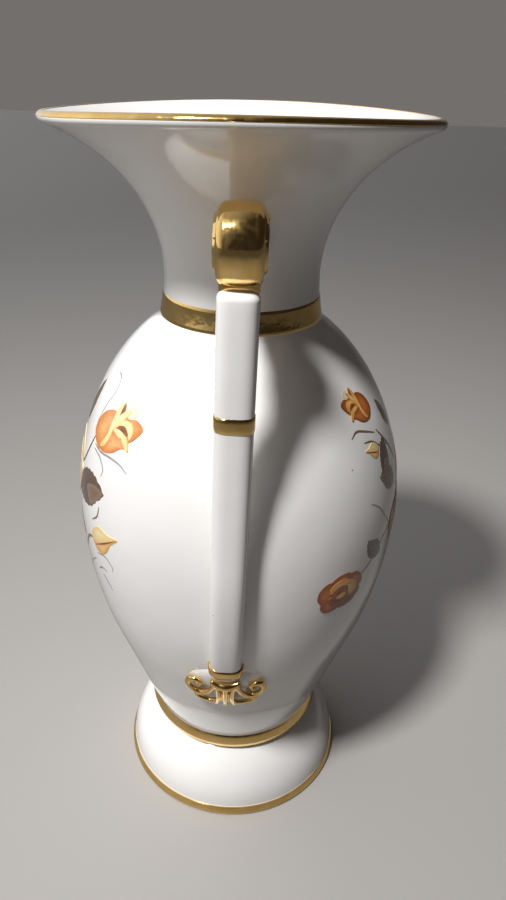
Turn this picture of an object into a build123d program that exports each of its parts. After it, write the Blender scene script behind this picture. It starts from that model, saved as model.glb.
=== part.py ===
from build123d import *
from math import asin, cos, degrees, radians, sin, tan
import os

# Porcelain amphora vase: a hollow ovoid body with a trumpet mouth, standing on a domed hollow foot, with two strap
# handles that end in gilded volutes above and gilded scroll mounts below.
# Frame: origin at the centre of the foot's resting ring, +Z up, the two handles on +X and -X, faces on -Y and +Y.

# ---- driving dimensions, in millimetres and degrees ----
# Foot
foot_radius = 53.0
foot_edge_height = 4.6
foot_edge_draft = 0.8
foot_waist_radius = 38.4
foot_ring_inner_radius = 47.5
foot_hollow_radius = 33.0
foot_hollow_height = 31.0
foot_core_radius = 37.0
foot_hollow_sag = 2.5
foot_dome_sag = 3.4

# Gilded bead where the foot joins the body
bead_bottom = 30.0
bead_top = 39.3
bead_radius = 41.2

# Body
belly_radius = 67.5
belly_height = 150.0
lower_arc_radius = 185.0
cone_angle = 18.9
shoulder_rise = 88.5
shoulder_top = 228.5
wall = 4.0
floor_thickness = 6.0

# Neck and trumpet mouth: the outside is one quarter-ellipse sweep from the throat to the lip
throat_radius = 29.3
throat_height = 245.0
flare_reach = 63.0
flare_rise = 56.0
lip_angle = 66.3
throat_wall = 3.6
lip_thickness = 3.6

# Gilding: thin bands that lie on the glaze
gilding = 0.3
neck_band_bottom = 229.6
neck_band_top = 238.0
rim_band_turns = (-0.12, 0.95)

# Handles: a strap of D section, whose outer face first follows the belly and then stands upright
handle_lean = 0.9
handle_pivot_height = 180.0
strap_width = 12.6
strap_thickness = 5.5
strap_crown = 2.2
strap_reach = 76.0
strap_bend_radius = 165.0
strap_bend_height = 161.5
strap_foot_height = 102.6
strap_top_height = 257.0
strap_top_round = 2.4

# Gilded volute and arm at the top of each handle
volute_radius = 11.5
volute_centre = (66.5, 268.5)
volute_width = 13.4
volute_round = 2.6
volute_tail_angle = 128.0
volute_ledge = 2.2
arm_saddle = (46.0, 268.8)
arm_underside = (56.0, 255.4)
arm_crook = (65.6, 251.4)
arm_heel_height = 243.0
arm_root_bottom = (28.4, 254.0)
arm_root_top = (34.6, 270.5)
volute_groove_radius = 6.6
volute_groove_width = 1.5
volute_groove_depth = 0.9

# Gilded bands on each strap
band_height = 5.4
band_centre_height = 216.6
collar_height = 5.4
collar_proud = 0.9

# Scroll mount at the foot of each handle, drawn on a plane that touches the belly; mirrored about the strap's middle
mount_height = 88.2
mount_zone = (70.0, 118.0)
pad_size = (31.0, 17.5)
pad_centre = 6.2
pad_proud = 1.6
scroll_proud = 4.4
scroll_stroke = 2.2
upper_scroll = [(4.6, 7.6), (6.2, 1.2), (10.6, -1.2), (15.0, 3.6), (12.6, 8.9), (9.4, 5.2)]
upper_scroll_eye = 1.7
lower_scroll = [(3.0, -10.8), (8.6, -8.6), (11.9, -4.6), (10.4, -2.6)]
lower_scroll_stroke = 1.8
pillar_outline = [(2.6, 8.0), (2.4, -4.0), (3.8, -11.6)]
rib_width = 1.5
rib_proud = 5.2
capital_outline = [(6.6, 11.6), (6.4, 9.4), (3.6, 6.2)]
capital_proud = 5.6

# ---- outlines ----
def lower_arc_point(inset):
    """Where the straight lower cone turns into the belly's arc, on a wall line set in by inset."""
    radius = lower_arc_radius - inset
    centre = belly_radius - lower_arc_radius
    return (centre + radius * cos(radians(cone_angle)), belly_height - radius * sin(radians(cone_angle)))


def cone_point(inset, height):
    """A point of the lower cone at a given height, on a wall line set in by inset."""
    turn = lower_arc_point(inset)
    return (turn[0] - (turn[1] - height) * tan(radians(cone_angle)), height)


def shoulder_point(height):
    """A point of the outer shoulder ellipse at a given height."""
    rise = (height - belly_height) / shoulder_rise
    return (belly_radius * (1 - rise**2) ** 0.5, height)


def shoulder_slope():
    """Direction of the shoulder ellipse where it meets the neck."""
    rise = (shoulder_top - belly_height) / shoulder_rise
    return (-belly_radius * rise / (1 - rise**2) ** 0.5, shoulder_rise)


def flare_point(extra_reach, extra_rise, angle):
    """A point of the trumpet's ellipse, grown by the wall for its inner side."""
    centre = throat_radius + flare_reach
    reach = flare_reach + extra_reach
    rise = flare_rise + extra_rise
    return (centre - reach * cos(radians(angle)), throat_height + rise * sin(radians(angle)))


def neck_radius(height):
    """Outer radius of the waisted neck, an arc that is upright at the throat and ends on the shoulder."""
    corner = shoulder_point(shoulder_top)
    drop = throat_height - shoulder_top
    spread = corner[0] - throat_radius
    arc_radius = (spread**2 + drop**2) / (2 * spread)
    return throat_radius + arc_radius - (arc_radius**2 - (throat_height - height) ** 2) ** 0.5


lip_outer = flare_point(0, 0, lip_angle)
lip_inner = flare_point(throat_wall, lip_thickness, lip_angle)
lip_slope = (sin(radians(lip_angle)) * flare_reach, cos(radians(lip_angle)) * flare_rise)
lip_slope_length = (lip_slope[0] ** 2 + lip_slope[1] ** 2) ** 0.5
lip_tip = tuple(
    (low + high) / 2 + lip_thickness / 2 * slope / lip_slope_length
    for low, high, slope in zip(lip_outer, lip_inner, lip_slope)
)


def draw_outer_side():
    """Draws the outside of the body in the current line block, from its base up to the lip."""
    Line(cone_point(0, bead_top), lower_arc_point(0))
    CenterArc((belly_radius - lower_arc_radius, belly_height), lower_arc_radius, -cone_angle, cone_angle)
    shoulder_heights = [belly_height + share * (shoulder_top - belly_height) for share in (0, 0.35, 0.65, 0.85, 1)]
    Spline(*(shoulder_point(height) for height in shoulder_heights), tangents=[(0, 1), shoulder_slope()])
    neck_middle = (shoulder_top + throat_height) / 2
    ThreePointArc(
        shoulder_point(shoulder_top), (neck_radius(neck_middle), neck_middle), (throat_radius, throat_height)
    )
    flare_centre = (throat_radius + flare_reach, throat_height)
    EllipticalCenterArc(flare_centre, flare_reach, flare_rise, 180, arc_size=-lip_angle)


# ---- body ----
with BuildPart() as body_envelope:
    with BuildSketch(Plane.XZ):
        with BuildLine():
            draw_outer_side()
            Polyline(lip_outer, (0, lip_outer[1]), (0, bead_top), cone_point(0, bead_top))
        make_face()
    revolve(axis=Axis.Z)

inner_floor = bead_top + floor_thickness
inner_throat = throat_radius - throat_wall

with BuildPart() as vase_body:
    with BuildSketch(Plane.XZ):
        with BuildLine():
            draw_outer_side()
            ThreePointArc(lip_outer, lip_tip, lip_inner)
            EllipticalCenterArc(
                (throat_radius + flare_reach, throat_height),
                flare_reach + throat_wall,
                flare_rise + lip_thickness,
                180,
                arc_size=-lip_angle,
            )
            Spline(
                (inner_throat, throat_height),
                (inner_throat + 2.2, shoulder_top - 0.5),
                (belly_radius - wall - 15.5, shoulder_top - 26.5),
                (belly_radius - wall, belly_height),
                tangents=[(0, -1), (0, -1)],
            )
            CenterArc(
                (belly_radius - lower_arc_radius, belly_height), lower_arc_radius - wall, -cone_angle, cone_angle
            )
            Polyline(
                lower_arc_point(wall),
                cone_point(wall, inner_floor),
                (0, inner_floor),
                (0, bead_top),
                cone_point(0, bead_top),
            )
        make_face()
    revolve(axis=Axis.Z)
vase_body.part.label = "vase_body"

# ---- foot ----
edge_top = (foot_radius - foot_edge_draft, foot_edge_height)
edge_bottom = (foot_radius, 1.0)

with BuildPart() as foot:
    with BuildSketch(Plane.XZ):
        with BuildLine():
            Polyline((foot_ring_inner_radius, 0), (foot_radius - 0.8, 0), edge_bottom, edge_top)
            SagittaArc(edge_top, (foot_waist_radius, bead_bottom), -foot_dome_sag)
            Polyline(
                (foot_waist_radius, bead_bottom),
                (foot_core_radius, bead_bottom),
                (foot_core_radius, bead_top),
                (0, bead_top),
                (0, foot_hollow_height),
                (foot_hollow_radius - 4, foot_hollow_height),
                (foot_hollow_radius, foot_hollow_height - 4),
            )
            SagittaArc((foot_hollow_radius, foot_hollow_height - 4), (foot_ring_inner_radius, 0), foot_hollow_sag)
        make_face()
    revolve(axis=Axis.Z)
foot.part.label = "foot"

with BuildPart() as joint_bead:
    with BuildSketch(Plane.XZ):
        with BuildLine():
            Polyline(
                (foot_waist_radius, bead_bottom),
                (foot_core_radius, bead_bottom),
                (foot_core_radius, bead_top),
                cone_point(0, bead_top),
            )
            ThreePointArc(
                cone_point(0, bead_top),
                (bead_radius, (bead_bottom + bead_top) / 2),
                (foot_waist_radius, bead_bottom),
            )
        make_face()
    revolve(axis=Axis.Z)
joint_bead.part.label = "joint_bead"

# ---- gilded bands of the body and foot ----
with BuildPart() as foot_edge_gilding:
    with BuildSketch(Plane.XZ):
        with BuildLine():
            Polyline(
                edge_bottom,
                (edge_bottom[0] + gilding, edge_bottom[1]),
                (edge_top[0] + gilding, edge_top[1]),
                edge_top,
                close=True,
            )
        make_face()
    revolve(axis=Axis.Z)
foot_edge_gilding.part.label = "foot_edge_gilding"

with BuildPart() as neck_gilding:
    with BuildSketch(Plane.XZ):
        with BuildLine():
            Polyline(
                (neck_radius(neck_band_top), neck_band_top),
                (neck_radius(neck_band_top) + gilding, neck_band_top),
                (neck_radius(neck_band_bottom) + gilding, neck_band_bottom),
                (neck_radius(neck_band_bottom), neck_band_bottom),
            )
            middle = (neck_band_bottom + neck_band_top) / 2
            ThreePointArc(
                (neck_radius(neck_band_bottom), neck_band_bottom),
                (neck_radius(middle), middle),
                (neck_radius(neck_band_top), neck_band_top),
            )
        make_face()
    revolve(axis=Axis.Z)
neck_gilding.part.label = "neck_gilding"

lip_centre = tuple((low + high) / 2 for low, high in zip(lip_outer, lip_inner))


def lip_gilding_point(proud, turn):
    """A point around the lip's rounded edge: turn runs from -1 at its outer corner to 1 at its inner corner."""
    base = degrees(asin(lip_slope[1] / lip_slope_length))
    angle = radians(base + 90 * turn)
    radius = lip_thickness / 2 + proud
    return (lip_centre[0] + radius * cos(angle), lip_centre[1] + radius * sin(angle))


first_turn, last_turn = rim_band_turns
middle_turn = (first_turn + last_turn) / 2

with BuildPart() as rim_gilding:
    with BuildSketch(Plane.XZ):
        with BuildLine():
            Line(lip_gilding_point(0, first_turn), lip_gilding_point(gilding, first_turn))
            ThreePointArc(*(lip_gilding_point(gilding, turn) for turn in (first_turn, middle_turn, last_turn)))
            Line(lip_gilding_point(gilding, last_turn), lip_gilding_point(0, last_turn))
            ThreePointArc(*(lip_gilding_point(0, turn) for turn in (last_turn, middle_turn, first_turn)))
        make_face()
    revolve(axis=Axis.Z)
    add(vase_body.part, mode=Mode.SUBTRACT)
rim_gilding.part.label = "rim_gilding"

# ---- handles ----
# Each handle lies in its own upright plane through the axis, tipped a little because it was set by hand.
# On that plane, x is the distance from the axis and y is the height.
lean_sine = sin(radians(handle_lean))
lean_cosine = cos(radians(handle_lean))
handle_plane = Plane(
    origin=(0, -handle_pivot_height * lean_sine, handle_pivot_height * (1 - lean_cosine)),
    x_dir=(1, 0, 0),
    z_dir=(0, -lean_cosine, lean_sine),
)
across = -handle_plane.z_dir
strap_back = strap_reach - strap_thickness
strap_foot_angle = degrees(asin((strap_bend_height - strap_foot_height) / strap_bend_radius))


def draw_strap_section(grow):
    """Draws the outline of the strap's D section, grown on every side, with its flat back on the x axis."""
    half = strap_width / 2 + grow
    shoulder = strap_thickness - strap_crown + grow
    Polyline((-half, shoulder), (-half, -grow), (half, -grow), (half, shoulder))
    ThreePointArc((half, shoulder), (0, strap_thickness + grow), (-half, shoulder))


def section_plane(path, distance):
    """The plane square to the strap's path at a distance along it, with y pointing away from the vase."""
    start = path.wire().position_at(distance, position_mode=PositionMode.LENGTH)
    heading = path.wire().tangent_at(distance, position_mode=PositionMode.LENGTH)
    return Plane(origin=start, x_dir=handle_plane.z_dir, z_dir=heading)


with BuildLine(handle_plane) as strap_path:
    CenterArc(
        (strap_reach - strap_bend_radius, strap_bend_height),
        strap_bend_radius - strap_thickness,
        -strap_foot_angle,
        strap_foot_angle,
    )
    Line((strap_back, strap_bend_height), (strap_back, strap_top_height))

with BuildPart() as strap:
    with BuildSketch(section_plane(strap_path, 0)) as strap_section:
        with BuildLine():
            draw_strap_section(0)
        make_face()
        fillet(strap_section.vertices().group_by(Axis.Y)[-1], radius=1.6)
    sweep(path=strap_path.wire())
    round_centre = (strap_reach - strap_top_round, strap_top_height - strap_top_round)
    with BuildSketch(handle_plane):
        with BuildLine():
            top_round = CenterArc(round_centre, strap_top_round, 0, 90)
            Polyline(
                top_round @ 1,
                (round_centre[0], strap_top_height + 1),
                (strap_reach + 1, strap_top_height + 1),
                (strap_reach + 1, round_centre[1]),
                top_round @ 0,
            )
        make_face()
    extrude(amount=strap_width, both=True, mode=Mode.SUBTRACT)
    add(body_envelope.part, mode=Mode.SUBTRACT)

with BuildPart() as volute:
    ledge = strap_back + volute_ledge
    ledge_angle = degrees(asin((ledge - volute_centre[0]) / volute_radius)) - 90
    with BuildSketch(handle_plane):
        with BuildLine():
            CenterArc(volute_centre, volute_radius, ledge_angle, volute_tail_angle - ledge_angle)
            tail_slope = radians(volute_tail_angle + 90)
            tail = (
                volute_centre[0] + volute_radius * cos(radians(volute_tail_angle)),
                volute_centre[1] + volute_radius * sin(radians(volute_tail_angle)),
            )
            Spline(
                tail,
                arm_saddle,
                arm_root_top,
                tangents=[(cos(tail_slope), sin(tail_slope)), (-1, 0.2)],
            )
            Polyline(arm_root_top, arm_root_bottom, arm_underside)
            ThreePointArc(arm_underside, arm_crook, (strap_back, arm_heel_height))
            roll_start = volute_centre[1] + volute_radius * sin(radians(ledge_angle))
            Polyline(
                (strap_back, arm_heel_height),
                (strap_back, strap_top_height),
                (ledge, strap_top_height),
                (ledge, roll_start),
            )
        make_face()
    extrude(amount=volute_width / 2, both=True)
    roll_face = volute.faces().filter_by(GeomType.CYLINDER).sort_by(Axis.X)[-1]
    fillet(roll_face.edges().filter_by(GeomType.CIRCLE), radius=volute_round)
    for side in (1, -1):
        cheek = Plane(
            origin=handle_plane.origin + across * side * volute_width / 2,
            x_dir=handle_plane.x_dir,
            z_dir=handle_plane.z_dir,
        )
        with BuildSketch(cheek):
            with BuildLine():
                groove = CenterArc(volute_centre, volute_groove_radius, -150, 285)
            SlotArc(groove, volute_groove_width)
        extrude(amount=volute_groove_depth, both=True, mode=Mode.SUBTRACT)
    add(vase_body.part, mode=Mode.SUBTRACT)

with BuildPart() as strap_band:
    band_start = strap_path.wire().length - strap_top_height + band_centre_height - band_height / 2
    with BuildSketch(section_plane(strap_path, band_start)) as band_section:
        with BuildLine():
            draw_strap_section(gilding)
        make_face()
        fillet(band_section.vertices().group_by(Axis.Y)[-1], radius=1.6 + gilding)
    extrude(amount=band_height)
    add(strap.part, mode=Mode.SUBTRACT)

with BuildPart() as collar:
    with BuildSketch(section_plane(strap_path, 0)) as collar_section:
        with BuildLine():
            draw_strap_section(collar_proud)
        make_face()
        fillet(collar_section.vertices().group_by(Axis.Y)[-1], radius=1.6 + collar_proud)
    extrude(amount=collar_height)
    fillet(collar.faces().sort_by(Axis.Z)[-1].edges(), radius=collar_proud * 0.8)
    fillet(collar.faces().sort_by(Axis.Z)[0].edges(), radius=collar_proud * 0.8)
    add(strap.part, mode=Mode.SUBTRACT)
    add(body_envelope.part, mode=Mode.SUBTRACT)

# ---- scroll mounts ----
mount_base = cone_point(0, mount_height)
mount_out = handle_plane.x_dir * cos(radians(cone_angle)) - handle_plane.y_dir * sin(radians(cone_angle))
mount_plane = Plane(origin=handle_plane.from_local_coords(mount_base), x_dir=across, z_dir=mount_out)


def belly_layer(proud):
    """A solid of revolution that stands proud of the lower belly, to give raised work an even height."""
    low, high = mount_zone
    arc_radius = lower_arc_radius + proud
    arc_centre = belly_radius - lower_arc_radius
    high_angle = degrees(asin((belly_height - high) / arc_radius))
    with BuildPart() as layer:
        with BuildSketch(Plane.XZ):
            with BuildLine():
                Line(cone_point(-proud, low), lower_arc_point(-proud))
                upper = CenterArc((arc_centre, belly_height), arc_radius, -cone_angle, cone_angle - high_angle)
                Polyline(upper @ 1, (0, high), (0, low), cone_point(-proud, low))
            make_face()
        revolve(axis=Axis.Z)
    return layer.part


def mirrored(points):
    """An outline's points followed by their mirror images, as a closed ring about the mount's middle line."""
    return [*points, *((-u, v) for u, v in reversed(points))]


with BuildPart() as pad:
    with BuildSketch(mount_plane):
        with Locations((0, pad_centre)):
            Ellipse(pad_size[0] / 2, pad_size[1] / 2)
    extrude(amount=12, both=True)
    add(belly_layer(pad_proud), mode=Mode.INTERSECT)
    add(body_envelope.part, mode=Mode.SUBTRACT)
    add(strap.part, mode=Mode.SUBTRACT)
    add(collar.part, mode=Mode.SUBTRACT)

with BuildPart() as scroll:
    with BuildSketch(mount_plane):
        with BuildLine(mode=Mode.PRIVATE) as upper_line:
            Spline(*upper_scroll)
        trace(upper_line.line, scroll_stroke)
        with Locations(upper_scroll[-1]):
            Circle(upper_scroll_eye)
        with BuildLine(mode=Mode.PRIVATE) as lower_line:
            Spline(*lower_scroll)
        trace(lower_line.line, lower_scroll_stroke)
        mirror(about=Plane.YZ)
        Polygon(*mirrored(pillar_outline), align=None)
        Polygon(*mirrored(capital_outline), align=None)
    extrude(amount=12, both=True)
    add(belly_layer(scroll_proud), mode=Mode.INTERSECT)

with BuildPart() as capital:
    with BuildSketch(mount_plane):
        Polygon(*mirrored(capital_outline), align=None)
    extrude(amount=12, both=True)
    add(belly_layer(capital_proud), mode=Mode.INTERSECT)

with BuildPart() as rib:
    with BuildSketch(mount_plane):
        with Locations((0, (pillar_outline[0][1] + pillar_outline[-1][1]) / 2)):
            Rectangle(rib_width, pillar_outline[0][1] - pillar_outline[-1][1])
    extrude(amount=12, both=True)
    add(belly_layer(rib_proud), mode=Mode.INTERSECT)

with BuildPart() as scroll_mount:
    add(scroll.part)
    add(capital.part)
    add(rib.part)
    for neighbour in (body_envelope, pad, collar, strap):
        add(neighbour.part, mode=Mode.SUBTRACT)

# ---- every piece to its own file ----
os.makedirs("parts", exist_ok=True)

for piece in (vase_body, foot, joint_bead, foot_edge_gilding, neck_gilding, rim_gilding):
    export_step(piece.part, f"parts/{piece.part.label}.step")

handle_pieces = {
    "handle_strap": strap,
    "handle_volute": volute,
    "handle_band": strap_band,
    "handle_collar": collar,
    "handle_pad": pad,
    "handle_scroll": scroll_mount,
}
for side, turn in (("right", 0), ("left", 180)):
    for name, piece in handle_pieces.items():
        placed = piece.part.rotate(Axis.Z, turn)
        placed.label = f"{side}_{name}"
        export_step(placed, f"parts/{placed.label}.step")
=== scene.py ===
import math

import bmesh
import bpy
from mathutils import Matrix, Vector


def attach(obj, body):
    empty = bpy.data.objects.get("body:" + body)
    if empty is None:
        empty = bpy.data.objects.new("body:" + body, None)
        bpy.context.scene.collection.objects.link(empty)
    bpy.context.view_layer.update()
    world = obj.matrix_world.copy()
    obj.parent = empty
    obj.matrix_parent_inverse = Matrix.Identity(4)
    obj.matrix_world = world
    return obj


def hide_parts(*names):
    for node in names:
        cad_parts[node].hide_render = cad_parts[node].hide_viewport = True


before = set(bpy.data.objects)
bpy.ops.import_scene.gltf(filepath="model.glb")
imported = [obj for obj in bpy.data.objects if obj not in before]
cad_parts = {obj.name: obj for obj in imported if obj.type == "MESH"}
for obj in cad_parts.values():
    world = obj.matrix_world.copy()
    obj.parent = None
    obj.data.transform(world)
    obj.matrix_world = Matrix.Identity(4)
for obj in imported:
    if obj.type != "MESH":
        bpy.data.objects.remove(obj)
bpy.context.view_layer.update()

# Porcelain amphora vase with gilded volute handles and printed sprays of roses.
# Frame: metres, origin at the centre of the foot's resting ring, +Z up, handles on +X and -X, faces on -Y
# and +Y.
# Shape values below are in millimetres and degrees, as in the CAD source; MM turns them into metres.
MM = 0.001

# ---- shape values shared with the CAD source ----
FOOT_RADIUS, FOOT_EDGE_HEIGHT, FOOT_EDGE_DRAFT = 53.0, 4.6, 0.8
FOOT_WAIST_RADIUS, FOOT_RING_INNER, FOOT_DOME_SAG = 38.4, 47.5, 3.4
FOOT_HOLLOW_RADIUS, FOOT_HOLLOW_HEIGHT, FOOT_HOLLOW_SAG = 33.0, 31.0, 2.5
BEAD_BOTTOM, BEAD_TOP, BEAD_SAG, BEAD_BED = 30.0, 39.3, 1.95, 1.4
BELLY_RADIUS, BELLY_HEIGHT, LOWER_ARC = 67.5, 150.0, 185.0
CONE_ANGLE = math.radians(18.9)
SHOULDER_RISE, SHOULDER_TOP = 88.5, 228.5
WALL, FLOOR_THICKNESS = 4.0, 6.0
THROAT_RADIUS, THROAT_HEIGHT, THROAT_WALL = 29.3, 245.0, 3.6
FLARE_REACH, FLARE_RISE, LIP_THICKNESS = 63.0, 56.0, 3.6
LIP_ANGLE = math.radians(66.3)
RIM_BAND_TURNS = (-0.12, 0.95)
NECK_BAND = (229.6, 238.0)
GILDING = 0.25

LEAN, LEAN_PIVOT = math.radians(0.9), 180.0
STRAP_WIDTH, STRAP_THICKNESS, STRAP_REACH = 12.6, 5.5, 76.0
STRAP_BEND_RADIUS, STRAP_BEND_HEIGHT = 165.0, 161.5
STRAP_FOOT, STRAP_TOP, STRAP_TOP_ROUND = 102.6, 257.0, 2.4
BAND_HEIGHT, BAND_CENTRE = 5.4, 216.6
COLLAR_HEIGHT, COLLAR_PROUD = 5.4, 0.9
ROLL_CENTRE, ROLL_RADIUS, ROLL_WIDTH = (66.5, 268.5), 11.5, 13.4
MOUNT_HEIGHT, PAD_SIZE, PAD_CENTRE, PAD_PROUD = 88.2, (31.0, 17.5), 6.2, 1.6

# The fired vase isn't quite true: its neck and mouth stand a little towards -Y, and its lip is a little
# higher over the
# handles than over the two faces, and higher on the +Y side.
NECK_SHIFT, LIP_SHIFT, LIP_SADDLE, LIP_TILT = 0.8, 0.8, 1.1, 0.7
SHIFT_START, LIP_RISE_START, LIP_HEIGHT = 160.0, 250.0, 299.0


# ---- camera: the photograph's viewing angle, looking down on a handle from close by ----
CAMERA_ANGLES = (2.05, 28.16, 1.95, 1.22)  # round the vase, down, tilt and turn to the side, in degrees
CAMERA_DISTANCE, CAMERA_HEIGHT = 0.26404, 0.30995
SENSOR_WIDTH, LENS_LENGTH, NEAR_LIMIT = 36.0, 28.0, 0.01


def aim_camera():
    azimuth, pitch, roll, swing = (math.radians(a) for a in CAMERA_ANGLES)
    away = Vector((-math.cos(azimuth), -math.sin(azimuth), 0))
    right = Vector((-math.sin(azimuth), math.cos(azimuth), 0))
    up = Vector((0, 0, 1))
    flat_forward = right * math.sin(swing) + away * math.cos(swing)
    forward = flat_forward * math.cos(pitch) - up * math.sin(pitch)
    level_right = right * math.cos(swing) - away * math.sin(swing)
    level_up = level_right.cross(forward)
    camera_right = level_right * math.cos(roll) + level_up * math.sin(roll)
    camera_up = level_up * math.cos(roll) - level_right * math.sin(roll)
    data = bpy.data.cameras.new("camera")
    data.sensor_width = SENSOR_WIDTH
    data.lens = LENS_LENGTH
    data.clip_start = NEAR_LIMIT
    camera = bpy.data.objects.new("camera", data)
    axes = Matrix((camera_right, camera_up, -forward)).transposed().to_4x4()
    camera.matrix_world = Matrix.Translation(-away * CAMERA_DISTANCE + up * CAMERA_HEIGHT) @ axes
    bpy.context.collection.objects.link(camera)
    bpy.context.scene.camera = camera


aim_camera()


# ---- material tools ----
class Nodes:
    """A short way to add and join the nodes of one material."""

    def __init__(self, name):
        self.material = bpy.data.materials.new(name)
        self.material.use_nodes = True
        self.tree = self.material.node_tree
        self.shader = self.tree.nodes["Principled BSDF"]
        self.place = self.add("ShaderNodeTexCoord").outputs["Object"]

    def add(self, kind, **settings):
        node = self.tree.nodes.new(kind)
        for key, value in settings.items():
            setattr(node, key, value)
        return node

    def join(self, start, end):
        self.tree.links.new(start, end)

    def noise(self, scale, detail=2.0):
        """Soft noise over the surface; scale counts its features per metre."""
        node = self.add("ShaderNodeTexNoise")
        node.inputs["Scale"].default_value = scale
        node.inputs["Detail"].default_value = detail
        self.join(self.place, node.inputs["Vector"])
        return node.outputs["Fac"]

    def remap(self, value, low, high, from_low=0.3, from_high=0.7):
        """Stretches a value from one range to another."""
        node = self.add("ShaderNodeMapRange")
        node.inputs["From Min"].default_value = from_low
        node.inputs["From Max"].default_value = from_high
        node.inputs["To Min"].default_value = low
        node.inputs["To Max"].default_value = high
        self.join(value, node.inputs["Value"])
        return node.outputs["Result"]

    def blend(self, factor, first, second):
        """Mixes two colours; each is a colour or another node's output."""
        node = self.add("ShaderNodeMix", data_type="RGBA")
        self.join(factor, node.inputs["Factor"])
        for value, socket in ((first, node.inputs[6]), (second, node.inputs[7])):
            if isinstance(value, bpy.types.NodeSocket):
                self.join(value, socket)
            else:
                socket.default_value = (*value, 1.0)
        return node.outputs[2]

    def bump(self, height, distance, strength=1.0):
        """Turns a height into surface relief of the given depth in metres."""
        node = self.add("ShaderNodeBump")
        node.inputs["Strength"].default_value = strength
        node.inputs["Distance"].default_value = distance
        self.join(height, node.inputs["Height"])
        self.join(node.outputs["Normal"], self.shader.inputs["Normal"])

    def attribute(self, name):
        node = self.add("ShaderNodeAttribute", attribute_name=name)
        return node.outputs["Fac"]

    def set(self, **values):
        for key, value in values.items():
            self.shader.inputs[key.replace("_", " ")].default_value = value


def porcelain_material():
    """Hard white glaze: glossy, very slightly wavy, with faint clouds of tint and a few pin specks."""
    n = Nodes("porcelain")
    clouds = n.blend(n.remap(n.noise(22.0), 0.0, 1.0), (0.86, 0.85, 0.84), (0.90, 0.89, 0.875))
    specks = n.add("ShaderNodeTexVoronoi")
    specks.inputs["Scale"].default_value = 45.0
    n.join(n.place, specks.inputs["Vector"])
    speck_mask = n.remap(specks.outputs["Distance"], 1.0, 0.0, 0.012, 0.022)
    n.join(n.blend(speck_mask, clouds, (0.36, 0.30, 0.25)), n.shader.inputs["Base Color"])
    n.join(n.remap(n.noise(60.0, 3.0), 0.045, 0.085), n.shader.inputs["Roughness"])
    n.bump(n.noise(48.0, 1.0), 0.00025)
    n.set(IOR=1.52, Coat_Weight=0.35, Coat_Roughness=0.03)
    return n.material


def bisque_material():
    """The unglazed ring that the foot stands on."""
    n = Nodes("bisque")
    tint = n.blend(n.remap(n.noise(900.0, 4.0), 0.0, 1.0), (0.62, 0.59, 0.54), (0.74, 0.71, 0.66))
    n.join(tint, n.shader.inputs["Base Color"])
    n.bump(n.noise(2600.0, 3.0), 0.00008)
    n.set(Roughness=0.85)
    return n.material


def gold_material():
    """Burnished gold over the glaze: mirror-like, with faint brush marks, thin spots and uneven shine."""
    n = Nodes("burnished_gold")
    warm = n.blend(n.remap(n.noise(140.0, 3.0), 0.0, 1.0), (0.83, 0.53, 0.17), (0.93, 0.66, 0.27))
    n.join(warm, n.shader.inputs["Base Color"])
    n.join(n.remap(n.noise(420.0, 4.0), 0.07, 0.19), n.shader.inputs["Roughness"])
    n.bump(n.noise(260.0, 2.0), 0.0001)
    n.set(Metallic=1.0)
    return n.material


PRINT_GRAIN = 1500.0


def print_material(name, base, tip):
    """Printed enamel colour under the gloss: runs from one tone to another along each petal or leaf, and
    is grainy."""
    n = Nodes(name)
    along = n.remap(n.attribute("along"), 0.0, 1.0, 0.0, 1.0)
    grain = n.remap(n.noise(PRINT_GRAIN, 2.0), -0.22, 0.22, 0.3, 0.7)
    total = n.add("ShaderNodeMath", operation="ADD", use_clamp=True)
    n.join(along, total.inputs[0])
    n.join(grain, total.inputs[1])
    n.join(n.blend(total.outputs[0], base, tip), n.shader.inputs["Base Color"])
    n.set(Roughness=0.14, IOR=1.5, Coat_Weight=0.3, Coat_Roughness=0.06)
    return n.material


PORCELAIN = porcelain_material()
BISQUE = bisque_material()
GOLD = gold_material()
PRINTS = {
    "orange": print_material("print_orange", (0.86, 0.47, 0.20), (0.64, 0.20, 0.035)),
    "amber": print_material("print_amber", (0.92, 0.60, 0.24), (0.72, 0.33, 0.06)),
    "lemon": print_material("print_lemon", (0.95, 0.80, 0.48), (0.88, 0.62, 0.24)),
    "cream": print_material("print_cream", (0.90, 0.84, 0.72), (0.82, 0.68, 0.44)),
    "ember": print_material("print_ember", (0.62, 0.20, 0.05), (0.28, 0.07, 0.02)),
    "rust": print_material("print_rust", (0.16, 0.045, 0.02), (0.34, 0.11, 0.03)),
    "umber": print_material("print_umber", (0.085, 0.045, 0.034), (0.14, 0.085, 0.06)),
    "taupe": print_material("print_taupe", (0.17, 0.11, 0.06), (0.24, 0.17, 0.11)),
    "stem": print_material("print_stem", (0.26, 0.235, 0.23), (0.46, 0.43, 0.42)),
}


# ---- mesh tools ----
def make_object(name, points, faces, materials, sharp=40.0):
    """Makes a shown piece from points in millimetres; edges sharper than the angle stay crisp."""
    mesh = bpy.data.meshes.new(name)
    mesh.from_pydata([Vector(p) * MM for p in points], [], faces)
    for material in materials:
        mesh.materials.append(material)
    shape = bmesh.new()
    shape.from_mesh(mesh)
    bmesh.ops.remove_doubles(shape, verts=shape.verts, dist=1e-7)
    bmesh.ops.recalc_face_normals(shape, faces=shape.faces)
    shape.to_mesh(mesh)
    shape.free()
    mesh.shade_smooth()
    mesh.set_sharp_from_angle(angle=math.radians(sharp))
    piece = bpy.data.objects.new(name, mesh)
    bpy.context.collection.objects.link(piece)
    return piece


def stand_in(piece, slot, *nodes):
    """Puts a piece in the frame in place of CAD nodes."""
    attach(piece, "root")
    if nodes:
        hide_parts(*nodes)
    return piece


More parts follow.
